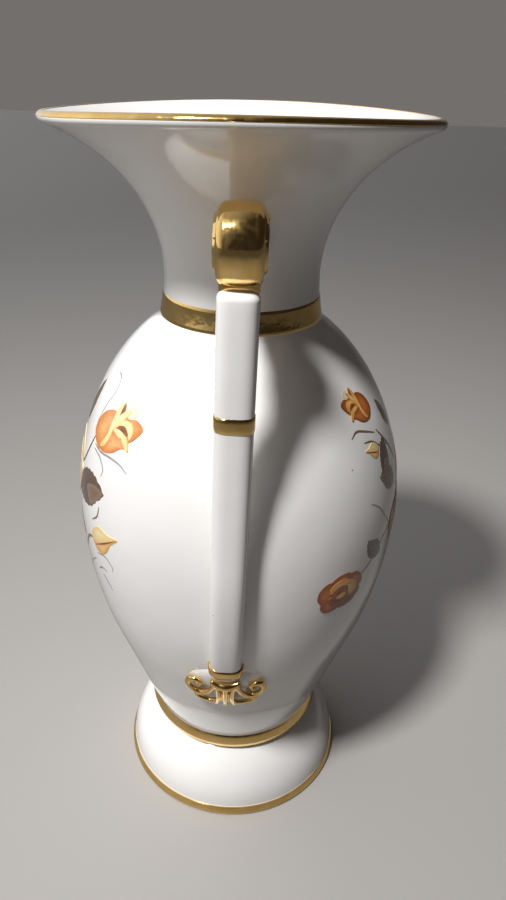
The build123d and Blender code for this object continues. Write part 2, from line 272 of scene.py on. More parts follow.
def curve_point(a, b, c, d, t):
    """The point a share t of the way from b to c on a smooth curve that also passes a and d."""
    bend = (2 * a - 5 * b + 4 * c - d) * t**2 + (3 * b - a - 3 * c + d) * t**3
    return (2 * b + (c - a) * t + bend) / 2


def smooth_path(points, steps):
    """Points along a smooth curve through the given ones, with steps to each span."""
    points = [Vector(p) for p in points]
    padded = [points[0] * 2 - points[1], *points, points[-1] * 2 - points[-2]]
    path = []
    for a, b, c, d in zip(padded, padded[1:], padded[2:], padded[3:]):
        path += [curve_point(a, b, c, d, i / steps) for i in range(steps)]
    return [*path, points[-1]]


def arc_through(start, end, sag, steps):
    """Points of a flat arc from start to end that bulges to the left of that direction by sag."""
    start, end = Vector(start), Vector(end)
    half = (end - start) / 2
    side = Vector((-half.y, half.x)).normalized()
    shares = [2 * i / steps - 1 for i in range(steps + 1)]
    return [start + half * (1 + s) + side * sag * (1 - s * s) for s in shares]


def smooth_step(value):
    value = min(max(value, 0.0), 1.0)
    return value * value * (3 - 2 * value)


def loft_faces(rings, size, closed=True):
    """Faces that join equal rings of points in order, with a cap on each end if the loft is closed."""
    faces = []
    for ring in range(rings - 1):
        for i in range(size):
            j = (i + 1) % size
            a, b = ring * size, (ring + 1) * size
            faces.append((a + i, a + j, b + j, b + i))
    if closed:
        faces.append(tuple(range(size)))
        faces.append(tuple(range((rings - 1) * size, rings * size)))
    return faces


def fired(point):
    """Where firing has moved a point of the true shape of the body."""
    radius, angle = point.xy.length, math.atan2(point.y, point.x)
    upper = max(point.z - THROAT_HEIGHT, 0) / (LIP_HEIGHT - THROAT_HEIGHT)
    shift = NECK_SHIFT * smooth_step((point.z - SHIFT_START) / (THROAT_HEIGHT - SHIFT_START)) + LIP_SHIFT * upper
    rise = smooth_step((point.z - LIP_RISE_START) / (LIP_HEIGHT - LIP_RISE_START))
    lift = (LIP_SADDLE * math.cos(2 * angle) + LIP_TILT * math.sin(angle)) * rise * min(radius / BELLY_RADIUS,
                                                                                        1)
    return point + Vector((0, -shift, lift))


def lathe(name, outline, materials, segments=288, sharp=40.0):
    """Turns a closed outline of (radius, height) points about the vase's axis."""
    points = []
    for i in range(segments):
        angle = math.tau * i / segments
        for radius, height in outline:
            points.append(fired(Vector((radius * math.cos(angle), radius * math.sin(angle), height))))
    size = len(outline)
    faces = []
    for i in range(segments):
        j = (i + 1) % segments
        for k in range(size):
            m = (k + 1) % size
            if outline[k][0] < 1e-6 and outline[m][0] < 1e-6:
                continue
            faces.append((i * size + k, j * size + k, j * size + m, i * size + m))
    return make_object(name, points, faces, materials, sharp)


# ---- the vase's outline ----
def outer_radius(height):
    """Radius of the outside of the body at a height, from the base up to the throat."""
    arc_middle = BELLY_RADIUS - LOWER_ARC
    turn_radius = arc_middle + LOWER_ARC * math.cos(CONE_ANGLE)
    turn_height = BELLY_HEIGHT - LOWER_ARC * math.sin(CONE_ANGLE)
    if height < turn_height:
        return turn_radius - (turn_height - height) * math.tan(CONE_ANGLE)
    if height < BELLY_HEIGHT:
        return arc_middle + math.sqrt(LOWER_ARC**2 - (BELLY_HEIGHT - height) ** 2)
    if height < SHOULDER_TOP:
        return BELLY_RADIUS * math.sqrt(1 - ((height - BELLY_HEIGHT) / SHOULDER_RISE) ** 2)
    corner = BELLY_RADIUS * math.sqrt(1 - ((SHOULDER_TOP - BELLY_HEIGHT) / SHOULDER_RISE) ** 2)
    drop, spread = THROAT_HEIGHT - SHOULDER_TOP, corner - THROAT_RADIUS
    arc = (spread**2 + drop**2) / (2 * spread)
    return THROAT_RADIUS + arc - math.sqrt(arc**2 - (THROAT_HEIGHT - height) ** 2)


def flare_point(angle, extra_reach=0.0, extra_rise=0.0):
    """A point of the trumpet's ellipse, grown by the wall for its inner side."""
    centre = THROAT_RADIUS + FLARE_REACH
    return Vector(
        (
            centre - (FLARE_REACH + extra_reach) * math.cos(angle),
            THROAT_HEIGHT + (FLARE_RISE + extra_rise) * math.sin(angle),
        )
    )


def lip_nose(grow, start, end, steps):
    """Points round the lip's rounded nose; the turn goes from -1 at its outer corner to 1 at its inner
    corner."""
    outer = flare_point(LIP_ANGLE)
    inner = flare_point(LIP_ANGLE, THROAT_WALL, LIP_THICKNESS)
    middle, radius = (outer + inner) / 2, LIP_THICKNESS / 2 + grow
    slope = math.atan2(FLARE_RISE * math.cos(LIP_ANGLE), FLARE_REACH * math.sin(LIP_ANGLE))
    turns = [start + (end - start) * i / steps for i in range(steps + 1)]
    return [
        middle + radius * Vector((math.cos(slope + math.pi / 2 * t), math.sin(slope + math.pi / 2 * t)))
        for t in turns
    ]


def body_outline():
    rows = 118
    outside = [BEAD_TOP + (THROAT_HEIGHT - BEAD_TOP) * i / rows for i in range(rows)]
    outline = [Vector((0, BEAD_TOP))] + [Vector((outer_radius(h), h)) for h in outside]
    flare_steps = 44
    angles = [LIP_ANGLE * i / flare_steps for i in range(flare_steps + 1)]
    outline += [flare_point(angle) for angle in angles]
    outline += lip_nose(0, -0.85, 0.85, 8)
    outline += [flare_point(angle, THROAT_WALL, LIP_THICKNESS) for angle in reversed(angles)]
    inner_throat = THROAT_RADIUS - THROAT_WALL
    inner_floor = BEAD_TOP + FLOOR_THICKNESS
    inside = smooth_path(
        [
            (inner_throat + 0.3, THROAT_HEIGHT - 5),
            (inner_throat + 2.2, SHOULDER_TOP - 0.5),
            (BELLY_RADIUS - WALL - 15.5, SHOULDER_TOP - 26.5),
            (BELLY_RADIUS - WALL - 3.6, SHOULDER_TOP - 53.5),
            (BELLY_RADIUS - WALL, BELLY_HEIGHT),
        ],
        8,
    )
    outline += inside
    lower = [BELLY_HEIGHT - (BELLY_HEIGHT - inner_floor - 5) * i / 30 for i in range(1, 31)]
    outline += [Vector((outer_radius(h) - WALL, h)) for h in lower]
    corner = outer_radius(inner_floor) - WALL
    outline += [Vector((corner - 0.8, inner_floor + 1.6)), Vector((corner - 4.0, inner_floor))]
    outline.append(Vector((0, inner_floor)))
    return outline


def foot_outline():
    edge_radius = FOOT_RADIUS - FOOT_EDGE_DRAFT
    hollow_edge = (FOOT_HOLLOW_RADIUS, FOOT_HOLLOW_HEIGHT - 4)
    outline = [
        Vector((FOOT_RING_INNER + 0.4, 0)),
        Vector((FOOT_RADIUS - 0.9, 0)),
        Vector((FOOT_RADIUS - 0.25, 0.3)),
        Vector((FOOT_RADIUS, 1.0)),
    ]
    outline.append(Vector((edge_radius + 0.12, FOOT_EDGE_HEIGHT - 0.9)))
    outline.append(Vector((edge_radius - 0.12, FOOT_EDGE_HEIGHT - 0.25)))
    dome_start = (edge_radius - 0.5, FOOT_EDGE_HEIGHT + 0.15)
    outline += arc_through(dome_start, (FOOT_WAIST_RADIUS, BEAD_BOTTOM), -FOOT_DOME_SAG, 28)
    outline += [Vector((FOOT_WAIST_RADIUS - BEAD_BED, BEAD_BOTTOM)),
                Vector((FOOT_WAIST_RADIUS - BEAD_BED, BEAD_TOP))]
    outline += [Vector((0, BEAD_TOP)), Vector((0, FOOT_HOLLOW_HEIGHT))]
    outline.append(Vector((FOOT_HOLLOW_RADIUS - 5, FOOT_HOLLOW_HEIGHT)))
    outline.append(Vector((FOOT_HOLLOW_RADIUS - 1.5, FOOT_HOLLOW_HEIGHT - 1.2)))
    outline += arc_through(hollow_edge, (FOOT_RING_INNER, 0.5), FOOT_HOLLOW_SAG, 20)
    return outline


def ribbon_outline(path, thickness):
    """A closed outline for a thin band: the path, and the same path sunk into the surface; ends are
    rounded off."""
    outline = []
    for i, point in enumerate(path):
        before, after = path[max(i - 1, 0)], path[min(i + 1, len(path) - 1)]
        heading = (after - before).normalized()
        out = Vector((heading.y, -heading.x))
        fade = 0.15 if i in (0, len(path) - 1) else 1.0
        outline.append(point + out * thickness * fade)
    return outline + [point - Vector((0.5, 0)) for point in reversed(path)]


def make_body():
    body = lathe("vase_body_glazed", body_outline(), [PORCELAIN])
    stand_in(body, "porcelain", "vase_body")
    foot = lathe("foot_glazed", foot_outline(), [PORCELAIN, BISQUE])
    for face in foot.data.polygons:
        if face.center.z < 0.2 * MM and face.center.xy.length > (FOOT_RING_INNER - 0.5) * MM:
            face.material_index = 1
    stand_in(foot, "porcelain", "foot")

    base = outer_radius(BEAD_TOP)
    bead = arc_through((FOOT_WAIST_RADIUS, BEAD_BOTTOM), (base, BEAD_TOP), -BEAD_SAG, 16)
    inner = FOOT_WAIST_RADIUS - BEAD_BED
    bead += [Vector((inner, BEAD_TOP)), Vector((inner, BEAD_BOTTOM))]
    stand_in(lathe("bead_gold", bead, [GOLD]), "gilded_porcelain", "joint_bead")

    rows = 14
    heights = [NECK_BAND[0] + (NECK_BAND[1] - NECK_BAND[0]) * i / rows for i in range(rows + 1)]
    path = [Vector((outer_radius(h), h)) for h in heights]
    stand_in(lathe("neck_band_gold", ribbon_outline(path, GILDING), [GOLD]), "gilding", "neck_gilding")

    edge = [Vector((FOOT_RADIUS, 1.0)), Vector((FOOT_RADIUS - 0.2, 2.2)), Vector((FOOT_RADIUS - 0.45, 3.4))]
    edge += [Vector((FOOT_RADIUS - FOOT_EDGE_DRAFT, FOOT_EDGE_HEIGHT))]
    stand_in(lathe("foot_edge_gold", ribbon_outline(edge, GILDING), [GOLD]), "gilding", "foot_edge_gilding")

    first, last = RIM_BAND_TURNS
    rim = lip_nose(0.02, first - 0.03, first, 1) + lip_nose(GILDING * 0.6, first + 0.03, last - 0.03, 14)
    rim += lip_nose(0.02, last, last + 0.03, 1) + lip_nose(-0.5, last, first, 14)
    stand_in(lathe("rim_gold", rim, [GOLD]), "gilding", "rim_gilding")


make_body()


# ---- handles ----
# A handle lies in its own upright plane through the axis, tipped a little because it was set by hand.
def on_handle(reach, height, across=0.0):
    """A point of the right handle: distance from the axis and height on its plane, and distance across it."""
    rise = height - LEAN_PIVOT
    y = rise * math.sin(LEAN) + across * math.cos(LEAN)
    z = LEAN_PIVOT + rise * math.cos(LEAN) - across * math.sin(LEAN)
    return Vector((reach, y, z))


def turned(points, side):
    """The right handle's points, or the same turned half round the vase for the left handle."""
    if side == "right":
        return points
    return [Vector((-p.x, -p.y, p.z)) for p in points]


STRAP_SEAT, STRAP_FRONT_SQUARENESS, STRAP_BACK_SQUARENESS = 0.7, 2.9, 5.0


def strap_station(height):
    """The strap's back line at a height, and the direction that faces away from the vase there."""
    if height >= STRAP_BEND_HEIGHT:
        return Vector((STRAP_REACH - STRAP_THICKNESS, height)), Vector((1, 0))
    centre = Vector((STRAP_REACH - STRAP_BEND_RADIUS, STRAP_BEND_HEIGHT))
    radius = STRAP_BEND_RADIUS - STRAP_THICKNESS
    angle = -math.asin((STRAP_BEND_HEIGHT - height) / radius)
    out = Vector((math.cos(angle), math.sin(angle)))
    return centre + out * radius, out


def strap_ring(height, grow=0.0, sink=0.0, size=56):
    """One ring of the strap's D-shaped section: full on the outside, nearly flat with soft corners on the
    back."""
    back, out = strap_station(height)
    seat = STRAP_SEAT
    ring = []
    for i in range(size):
        angle = math.tau * i / size
        c, s = math.cos(angle), math.sin(angle)
        power = 2 / (STRAP_FRONT_SQUARENESS if s >= 0 else STRAP_BACK_SQUARENESS)
        depth = STRAP_THICKNESS - seat + grow if s >= 0 else seat + max(grow, 0)
        lateral = (STRAP_WIDTH / 2 + grow) * math.copysign(abs(c) ** power, c)
        outward = seat + depth * math.copysign(abs(s) ** power, s) - sink
        at = back + out * outward
        ring.append(on_handle(at.x, at.y, lateral))
    return ring


def strap_piece(name, rings, side, material, sharp=60.0):
    points = turned([p for ring in rings for p in ring], side)
    return make_object(name, points, loft_faces(len(rings), len(rings[0])), [material], sharp)


def make_strap(side):
    rows = 64
    straight_end = STRAP_TOP - STRAP_TOP_ROUND
    rings = [strap_ring(STRAP_FOOT - 4 + (straight_end - STRAP_FOOT + 4) * i / rows) for i in range(rows + 1)]
    for i in range(1, 9):
        turn = math.radians(90) * i / 8
        pull = STRAP_TOP_ROUND * (1 - math.cos(turn))
        rings.append(strap_ring(straight_end + STRAP_TOP_ROUND * math.sin(turn), grow=-pull))
    strap = strap_piece(f"{side}_strap_glazed", rings, side, PORCELAIN)
    stand_in(strap, "porcelain", f"{side}_handle_strap")

    low, high = BAND_CENTRE - BAND_HEIGHT / 2, BAND_CENTRE + BAND_HEIGHT / 2
    levels = [(low, 0.02), (low + 0.25, 0.2), (low + 1.6, GILDING)]
    levels += [(high - 1.6, GILDING), (high - 0.25, 0.2), (high, 0.02)]
    rings = [strap_ring(height, grow) for height, grow in levels]
    band = strap_piece(f"{side}_band_gold", rings, side, GOLD)
    stand_in(band, "gilding", f"{side}_handle_band")

    rows = 12
    rings = []
    for i in range(rows + 1):
        swing = 2 * i / rows - 1
        bulge = COLLAR_PROUD * math.sqrt(max(1 - abs(swing) ** 2.6, 0))
        rings.append(strap_ring(STRAP_FOOT + COLLAR_HEIGHT * i / rows, bulge + 0.03))
    collar = strap_piece(f"{side}_collar_gold", rings, side, GOLD)
    stand_in(collar, "gilded_porcelain", f"{side}_handle_collar")


# ---- volute: a barrel roll with a spiral on each cheek, an arm to the neck, and a heel behind the strap's
# top ----
ROLL_CROWN, ROLL_EDGE = 0.35, 2.6
EYE_RADIUS, EYE_DEPTH = 2.9, 0.7
SPIRAL_OUTER, SPIRAL_PITCH, SPIRAL_START, SPIRAL_LAPS = 9.0, 2.9, math.radians(20), 2
GROOVE_DEPTH, GROOVE_WIDTH, GROOVE_LIMIT, GROOVE_FADE = 1.0, 0.75, 9.6, 1.4
SLAB_SQUARENESS = 4.5


def spiral_relief(radius, angle):
    """Depth of the spiral groove on the roll's cheek, and of the hollow round the eye at its middle."""
    if radius < EYE_RADIUS:
        return -EYE_DEPTH * (radius / EYE_RADIUS) ** 4
    turns = (angle - SPIRAL_START) % math.tau / math.tau
    nearest = min(abs(radius - (SPIRAL_OUTER - SPIRAL_PITCH * (turns + lap))) for lap in range(SPIRAL_LAPS))
    fade = smooth_step((GROOVE_LIMIT - radius) / GROOVE_FADE)
    return -GROOVE_DEPTH * math.exp(-((nearest / GROOVE_WIDTH) ** 2)) * fade


def roll_rings(size=144):
    half = ROLL_WIDTH / 2
    flat = ROLL_RADIUS - ROLL_EDGE
    cheek_rows = 34
    profile = [(0.02 + (flat - 0.02) * i / cheek_rows, half, True) for i in range(cheek_rows + 1)]
    for i in range(1, 11):
        turn = math.radians(90) * i / 10
        profile.append((flat + ROLL_EDGE * math.sin(turn), half - ROLL_EDGE * (1 - math.cos(turn)), False))
    barrel = half - ROLL_EDGE
    for i in range(1, 8):
        lateral = barrel * (1 - i / 8)
        profile.append((ROLL_RADIUS + ROLL_CROWN * (1 - (lateral / barrel) ** 2), lateral, False))
    middle = (ROLL_RADIUS + ROLL_CROWN, 0.0, False)
    mirrored = [(radius, -lateral, cheek) for radius, lateral, cheek in reversed(profile)]
    rings = []
    for radius, lateral, cheek in [*profile, middle, *mirrored]:
        ring = []
        for i in range(size):
            angle = math.tau * i / size
            lift = spiral_relief(radius, angle) if cheek else 0.0
            across = lateral + math.copysign(lift, lateral)
            at = Vector(ROLL_CENTRE) + radius * Vector((math.cos(angle), math.sin(angle)))
            ring.append(on_handle(at.x, at.y, across))
        rings.append(ring)
    return rings


def slab_rings(upper, lower, half_widths, steps, size=48):
    """Rings of a slab with rounded edges between an upper and a lower line on the handle's plane."""
    top, bottom = smooth_path(upper, steps), smooth_path(lower, steps)
    widths = [w.x for w in smooth_path([(w, 0) for w in half_widths], steps)]
    rings = []
    for high, low, half in zip(top, bottom, widths):
        middle, spread = (high + low) / 2, (high - low) / 2
        ring = []
        for i in range(size):
            angle = math.tau * i / size
            c, s = math.cos(angle), math.sin(angle)
            at = middle + spread * math.copysign(abs(s) ** (2 / SLAB_SQUARENESS), s)
            across = half * math.copysign(abs(c) ** (2 / SLAB_SQUARENESS), c)
            ring.append(on_handle(at.x, at.y, across))
        rings.append(ring)
    return rings


def merge(piece, others):
    """Unites closed pieces into the first one."""
    for other in others:
        modifier = piece.modifiers.new("unite", "BOOLEAN")
        modifier.operation = "UNION"
        modifier.solver = "EXACT"
        modifier.object = other
    graph = bpy.context.evaluated_depsgraph_get()
    mesh = bpy.data.meshes.new_from_object(piece.evaluated_get(graph))
    piece.modifiers.clear()
    piece.data = mesh
    for other in others:
        bpy.data.objects.remove(other)
    piece.data.shade_smooth()
    piece.data.set_sharp_from_angle(angle=math.radians(38))
    return piece


def make_volute(side):
    roll = strap_piece(f"{side}_volute_gold", roll_rings(), side, GOLD)
    arm = slab_rings(
        [(34.8, 271.2), (38.5, 270.0), (46.0, 268.8), (54.5, 272.6), (59.4, 277.6), (66.0, 278.6)],
        [(28.0, 253.6), (34.0, 254.2), (46.0, 255.0), (56.0, 255.4), (62.0, 256.5), (68.0, 262.0)],
        [6.9, 6.5, 6.2, 6.4, 6.55, 6.3],
        7,
    )
    heel = slab_rings(
        [(72.6, 266.0), (72.7, 259.5), (72.4, 256.8), (71.4, 253.0), (71.0, 247.0), (70.9, 243.4)],
        [(58.0, 263.0), (57.6, 256.0), (62.2, 252.6), (66.4, 250.6), (69.0, 246.6), (70.1, 243.0)],
        [6.2, 6.1, 5.9, 5.8, 5.6, 5.2],
        7,
    )
    pieces = [strap_piece(f"{side}_{part}", rings, side, GOLD) for part, rings in (("arm", arm),
                                                                                   ("heel", heel))]
    merge(roll, pieces)
    stand_in(roll, "gilded_porcelain", f"{side}_handle_volute")


# ---- scroll mount at the strap's foot: drawn on a plane that touches the belly, then laid on the belly ----
def on_mount(u, v, lift):
    """A point u across and v up the mount, raised by lift above the belly's surface."""
    base = outer_radius(MOUNT_HEIGHT)
    reach = base + v * math.sin(CONE_ANGLE)
    height = MOUNT_HEIGHT + v * math.cos(CONE_ANGLE)
    inward = Vector((-math.cos(CONE_ANGLE), math.sin(CONE_ANGLE)))
    low, high = -14.0, 14.0
    for _ in range(26):
        depth = (low + high) / 2
        at = on_handle(reach + inward.x * depth, height + inward.y * depth, u)
        gap = at.xy.length - outer_radius(at.z) - lift / math.cos(CONE_ANGLE)
        if gap > 0:
            low = depth
        else:
            high = depth
    return on_handle(reach + inward.x * low, height + inward.y * low, u)


def relief_tube(path, radii, lift, size=20, steps=10):
    """A tapering round bar laid along the mount: path points are (u, v), with a radius at each."""
    line = smooth_path(path, steps)
    widths = [r.x for r in smooth_path([(r, 0) for r in radii], steps)]
    heights = [h.x for h in smooth_path([(h, 0) for h in lift], steps)]
    rings = []
    for i, (at, radius, height) in enumerate(zip(line, widths, heights)):
        heading = line[min(i + 1, len(line) - 1)] - line[max(i - 1, 0)]
        side = Vector((-heading.y, heading.x)).normalized()
        ring = []
        for k in range(size):
            angle = math.tau * k / size
            spot = at + side * radius * math.cos(angle)
            ring.append(on_mount(spot.x, spot.y, height + radius * math.sin(angle)))
        rings.append(ring)
    return rings


def dome_rings(centre, radius, base, height, size=24, rows=8):
    """A rounded boss on the mount."""
    rings = []
    for row in range(rows + 1):
        turn = math.radians(90) * row / rows
        reach, lift = max(radius * math.cos(turn), 0.02), base + height * math.sin(turn)
        ring = []
        for k in range(size):
            angle = math.tau * k / size
            u, v = centre[0] + reach * math.cos(angle), centre[1] + reach * math.sin(angle)
            ring.append(on_mount(u, v, lift))
        rings.append(ring)
    return rings


def mirrored_path(path):
    return [(-u, v) for u, v in path]


def scroll_parts():
    """Every bar and boss of the scroll mount, as rings of points."""
    upper = [(4.0, 9.2), (5.4, 4.4), (7.2, -0.6), (10.6, -3.0), (14.1, -1.2), (15.6, 3.0), (14.4, 7.2),
             (12.0, 8.1),
             (10.2, 6.4), (11.2, 4.6)]
    upper_radii = [1.0, 1.0, 1.05, 1.2, 1.25, 1.25, 1.15, 1.05, 0.95, 0.9]
    upper_lifts = [3.4, 2.8, 2.2, 1.9, 1.9, 2.0, 2.1, 2.2, 2.2, 2.2]
    lower = [(3.2, -8.8), (7.4, -9.4), (11.4, -8.2), (12.3, -6.0), (10.0, -5.2)]
    flank = [(3.5, 8.4), (2.9, 2.0), (2.8, -5.0), (3.7, -11.4)]
    parts = []
    for flip in (lambda path: path, mirrored_path):
        parts.append(relief_tube(flip(upper), upper_radii, upper_lifts))
        parts.append(relief_tube(flip(lower), [1.0, 1.0, 1.0, 0.9, 0.8], [2.0, 1.7, 1.6, 1.6, 1.7]))
        parts.append(relief_tube(flip(flank), [1.0, 1.05, 1.1, 1.0], [3.6, 3.1, 2.5, 1.6]))
        parts.append(dome_rings(flip([(11.2, 4.6)])[0], 1.5, 0.4, 3.2))
        parts.append(dome_rings(flip([(9.6, -5.6)])[0], 1.2, 0.3, 2.4))
    rib = [(0, 8.6), (0, 1.0), (0, -6.0), (0, -12.0)]
    parts.append(relief_tube(rib, [1.1, 0.95, 0.95, 0.9], [4.4, 3.9, 3.2, 2.0]))
    capital = [(-5.8, 10.5), (-2.9, 9.5), (0, 9.2), (2.9, 9.5), (5.8, 10.5)]
    parts.append(relief_tube(capital, [1.3, 1.7, 1.9, 1.7, 1.3], [3.1, 3.7, 4.0, 3.7, 3.1]))
    web = [(0, 9.0), (0, 2.0), (0, -10.5)]
    parts.append(relief_tube(web, [3.2, 2.9, 3.0], [-0.2, -0.6, -1.2]))
    return parts


def fuse(piece, voxel, rounds):
    """Fuses overlapping closed parts into one skin and softens it, like metal-covered casting."""
    remesh = piece.modifiers.new("fuse", "REMESH")
    remesh.mode = "VOXEL"
    remesh.voxel_size = voxel
    smooth = piece.modifiers.new("soften", "SMOOTH")
    smooth.factor = 0.5
    smooth.iterations = rounds
    graph = bpy.context.evaluated_depsgraph_get()
    mesh = bpy.data.meshes.new_from_object(piece.evaluated_get(graph))
    piece.modifiers.clear()
    piece.data = mesh
    mesh.shade_smooth()
    return piece


SCROLL_VOXEL, SCROLL_SOFTENING = 0.22, 3
PAD_SINK, PAD_BED, PAD_TIP, PAD_FULLNESS = 0.25, 1.5, 0.003, 4.0


def pad_ring(share, lift, size=72):
    """One ring of the oval pad, at a share of its full outline."""
    angles = [math.tau * k / size for k in range(size)]
    half_width, half_height = (side / 2 * share for side in PAD_SIZE)
    return [on_mount(half_width * math.cos(a), PAD_CENTRE + half_height * math.sin(a), lift) for a in angles]


def make_mount(side):
    points, faces = [], []
    for rings in scroll_parts():
        start = len(points)
        points += [p for ring in rings for p in ring]
        faces += [tuple(start + i for i in face) for face in loft_faces(len(rings), len(rings[0]))]
    scroll = make_object(f"{side}_scroll_gold", turned(points, side), faces, [GOLD])
    fuse(scroll, SCROLL_VOXEL * MM, SCROLL_SOFTENING)
    scroll.data.materials.clear()
    scroll.data.materials.append(GOLD)
    stand_in(scroll, "gilded_porcelain", f"{side}_handle_scroll")

    rows = 14
    rings = [pad_ring(1.0, -PAD_BED)]
    for row in range(rows + 1):
        share = 1 - row / rows
        rings.append(pad_ring(max(share, PAD_TIP), PAD_PROUD * (1 - share**PAD_FULLNESS) - PAD_SINK))
    pad = strap_piece(f"{side}_pad_glazed", rings, side, PORCELAIN)
    stand_in(pad, "porcelain", f"{side}_handle_pad")


for handle_side in ("right", "left"):
    make_strap(handle_side)
    make_volute(handle_side)
    make_mount(handle_side)


# ---- printed sprays: the same transfer on both faces, drawn as thin petals laid on the glaze ----
# On a face, u is the distance round the belly to the viewer's right of the face's middle, and v is the
# height.
FACES = {"front": -90.0, "back": 90.0}
STEM_LIFT, LEAF_LIFT, ROSE_LIFT, LAYER = 0.06, 0.08, 0.15, 0.03
PRINT_SEAT = -0.25


def on_face(face, u, v, lift):
    angle = math.radians(FACES[face]) + u / BELLY_RADIUS
    radius = outer_radius(v) + lift
    return fired(Vector((radius * math.cos(angle), radius * math.sin(angle), v)))


def smooth_ring(points, steps=5):
    """A smooth closed curve through the points."""
    points = [Vector(p) for p in points]
    count, ring = len(points), []
    for i in range(count):
        a, b, c, d = (points[(i + k) % count] for k in (-1, 0, 1, 2))
        ring += [curve_point(a, b, c, d, step / steps) for step in range(steps)]
    return ring


class Spray:
    """Collects the petals, leaves and stems of each colour on one face into a mesh."""

    def __init__(self, face):
        self.face = face
        self.sets = {}

    def patch(self, colour, outline, focus, lift, teeth=0.0, rings=6):
        """A petal or leaf inside a smooth outline; its tone runs from the focus out to the edge."""
        points, faces, tones = self.sets.setdefault(colour, ([], [], []))
        edge = smooth_ring(outline)
        focus = Vector(focus)
        if teeth:
            edge = [focus + (at - focus) * (1 - teeth * (i % 3) / 2) for i, at in enumerate(edge)]
        size = len(edge)
        start = len(points)
        for share in [(ring + 1) / rings for ring in range(rings)]:
            for at in edge:
                spot = focus + (at - focus) * share
                points.append(on_face(self.face, spot.x, spot.y, lift))
                tones.append(share)
        for at in edge:
            points.append(on_face(self.face, at.x, at.y, PRINT_SEAT))
            tones.append(1.0)
        middle = len(points)
        points += [on_face(self.face, *focus, lift), on_face(self.face, *focus, PRINT_SEAT)]
        tones += [0.0, 1.0]
        faces += [tuple(start + k for k in face) for face in loft_faces(rings + 1, size, closed=False)]
        skirt = start + rings * size
        for i in range(size):
            j = (i + 1) % size
            faces.append((middle, start + j, start + i))
            faces.append((middle + 1, skirt + i, skirt + j))

    def stem(self, colour, path, width):
        """A fine painted line through the points."""
        points, faces, tones = self.sets.setdefault(colour, ([], [], []))
        line = smooth_path(path, 6)
        rows = len(line) - 1
        start = len(points)
        for i, at in enumerate(line):
            heading = line[min(i + 1, rows)] - line[max(i - 1, 0)]
            side = Vector((-heading.y, heading.x)).normalized()
            half = width / 2 * (0.3 + 0.7 * math.sin(math.pi * min(max(i / rows, 0.02), 0.98)) ** 0.5)
            for shift, depth in ((-half, STEM_LIFT), (half, STEM_LIFT), (half, PRINT_SEAT),
                                 (-half, PRINT_SEAT)):
                spot = at + side * shift
                points.append(on_face(self.face, spot.x, spot.y, depth))
                tones.append(i / rows)
        faces += [tuple(start + k for k in face) for face in loft_faces(len(line), 4)]

    def motif(self, petals, lift, centre, turn=0.0, size=1.0, flip=1, recolour=None, teeth=0.0):
        """A flower or leaf drawn about its own centre, placed, turned and sized on the face."""
        c, s = math.cos(math.radians(turn)) * size, math.sin(math.radians(turn)) * size

        def placed(point):
            u, v = point[0] * flip, point[1]
            return Vector((centre[0] + u * c - v * s, centre[1] + u * s + v * c))

        for level, (colour, focus, outline) in enumerate(petals):
            shade = (recolour or {}).get(colour, colour)
            self.patch(shade, [placed(p) for p in outline], placed(focus), lift + LAYER * level, teeth)

    def finish(self):
        for colour, (points, faces, tones) in self.sets.items():
            name = f"{self.face}_spray_{colour}"
            mesh = bpy.data.meshes.new(name)
            mesh.from_pydata([p * MM for p in points], [], faces)
            mesh.materials.append(PRINTS[colour])
            along = mesh.attributes.new("along", "FLOAT", "POINT")
            along.data.foreach_set("value", tones)
            shape = bmesh.new()
            shape.from_mesh(mesh)
            bmesh.ops.recalc_face_normals(shape, faces=shape.faces)
            shape.to_mesh(mesh)
            shape.free()
            mesh.shade_smooth()
            mesh.set_sharp_from_angle(angle=math.radians(40))
            piece = bpy.data.objects.new(name, mesh)
            bpy.context.collection.objects.link(piece)
            stand_in(piece, "porcelain")


# Each flower or leaf is a list of petals from the back one to the front one: colour, lightest point, outline
CUP_ROSE = (
    ("cream", (8.0, 8.5), [(4.5, 8.0), (7.0, 10.6), (12.0, 10.2), (11.5, 7.0), (7.0, 6.6)]),
    ("orange", (-6.8, -0.3), [(-15.0, -3.5), (-13.5, 1.5), (-9.0, 5.2), (-2.5, 6.8), (0.5, 4.0), (-1.5, -2.5),
                              (-5.5, -8.2), (-11.0, -7.0)]),
    ("orange", (3.5, -3.4), [(-5.0, -8.0), (-0.5, -7.8), (4.0, -6.2), (8.5, -3.4), (11.8, -2.4), (10.5, 0.8),
                             (3.0, 0.4), (-1.5, 0.4), (-3.8, -3.5)]),
    ("orange", (8.8, 5.0), [(9.8, 0.2), (13.0, 0.2), (18.0, 5.1), (13.5, 7.4), (8.5, 6.8), (3.0, 7.6),
                            (1.0, 4.6),
                            (5.5, 3.8)]),
    ("lemon", (-0.6, 1.0), [(-6.0, -6.6), (-2.8, -1.5), (-2.0, 4.2), (-0.8, 8.4), (2.6, 11.2), (1.8, 6.0),
                            (0.4, 1.5),
                            (-0.4, -2.5), (-3.2, -6.2)]),
    ("rust", (2.4, 8.0), [(1.6, 5.6), (2.4, 10.4), (4.0, 9.0), (3.2, 6.4)]),
    ("lemon", (4.0, 6.4), [(0.8, 2.2), (2.0, 6.6), (7.0, 9.4), (8.4, 8.8), (5.2, 5.2), (3.0, 2.8)]),
    ("rust", (6.4, 2.6), [(2.6, 2.2), (6.4, 4.4), (11.2, 3.4), (10.0, 1.4), (5.0, 1.4)]),
    ("lemon", (9.0, 5.2), [(3.2, 3.4), (6.0, 5.8), (11.0, 6.0), (13.4, 3.6), (12.2, 0.6), (10.6, 2.6),
                           (7.2, 4.2)]),
    ("lemon", (6.4, 0.8), [(0.6, 1.4), (5.0, 2.3), (10.6, 0.9), (13.0, -2.8), (11.4, -3.0), (9.0, -0.2),
                           (5.2, 0.0)]),
)
